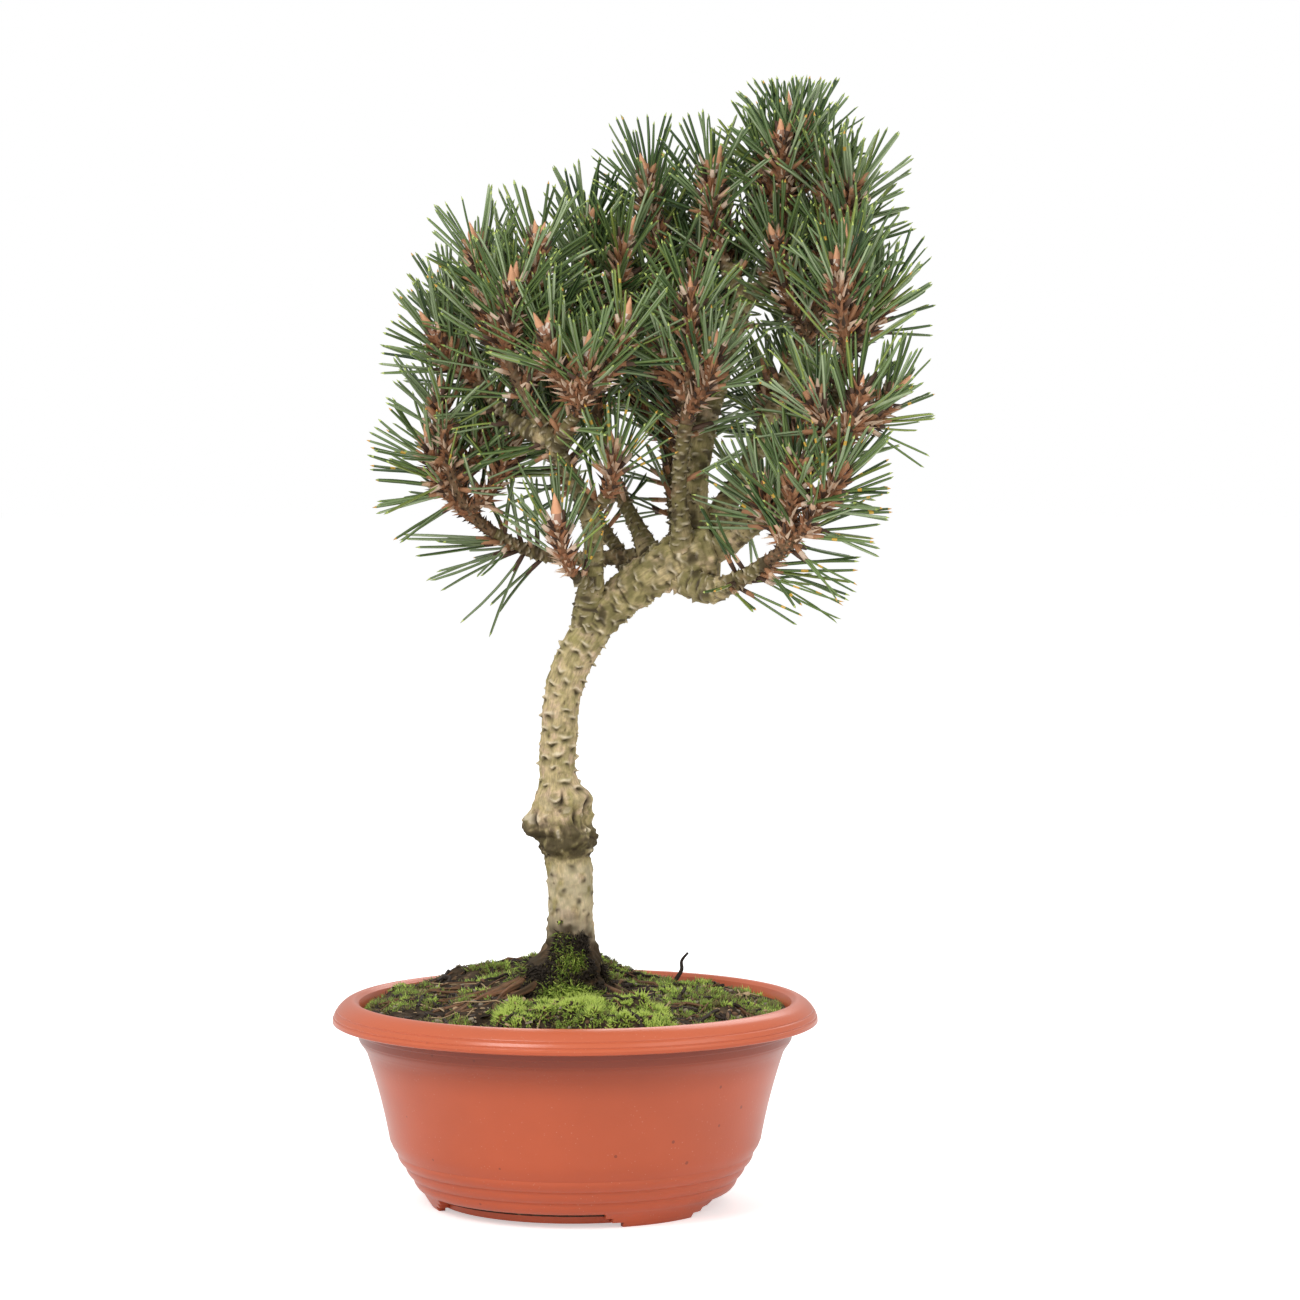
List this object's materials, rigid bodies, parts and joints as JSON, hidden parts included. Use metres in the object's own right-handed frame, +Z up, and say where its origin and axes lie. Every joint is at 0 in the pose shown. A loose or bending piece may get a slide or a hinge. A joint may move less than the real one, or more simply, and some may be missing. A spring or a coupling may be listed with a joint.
{
  "type": "potted black pine",
  "caption": "Small grafted black pine with a curved trunk, rising boughs and an upright crown of short stiff needles, in a round terracotta-coloured plastic bowl of mossy soil.",
  "frame": {"origin": "floor level under the middle of the bowl; the flat underside lies 1.5 mm above it, inside the foot ring", "axes": "+Z up along the bowl's axis; +X to the side that the trunk leans over to; +Y away from the front view"},
  "size_m": [0.2751, 0.221, 0.5162],
  "materials": {
    "bowl": "satin",
    "soil": "matte",
    "bark": "matte",
    "needles": "satin"
  },
  "bodies": {
    "root": {"bowl": "bowl", "soil": "soil", "trunk": "bark", "bough_leader": "bark", "bough_right": "bark", "bough_right_front": "bark", "bough_low_right": "bark", "bough_right_rear": "bark", "bough_centre": "bark", "bough_centre_rear": "bark", "bough_back": "bark", "bough_left_rear": "bark", "bough_back_left": "bark", "bough_low_left": "bark", "bough_upright": "bark", "bough_left": "bark", "bough_front": "bark", "bough_inner": "bark", "bough_low_front": "bark", "bough_top_centre": "bark", "bough_top": "bark", "bough_top_back": "bark", "bough_right_back": "bark", "bough_right_top": "bark", "foliage_left_top": "needles", "foliage_left": "needles", "foliage_front": "needles", "foliage_inner": "needles", "foliage_low_front": "needles", "foliage_low_left": "needles", "foliage_left_rear": "needles", "foliage_centre": "needles", "foliage_centre_top": "needles", "foliage_top_centre": "needles", "foliage_top": "needles", "foliage_right_crest": "needles", "foliage_right_rear": "needles", "foliage_right_front": "needles", "foliage_right_top": "needles", "foliage_low_right": "needles", "foliage_back_left": "needles", "foliage_back": "needles", "foliage_top_back": "needles", "foliage_right_back": "needles"}
  },
  "joints": []
}
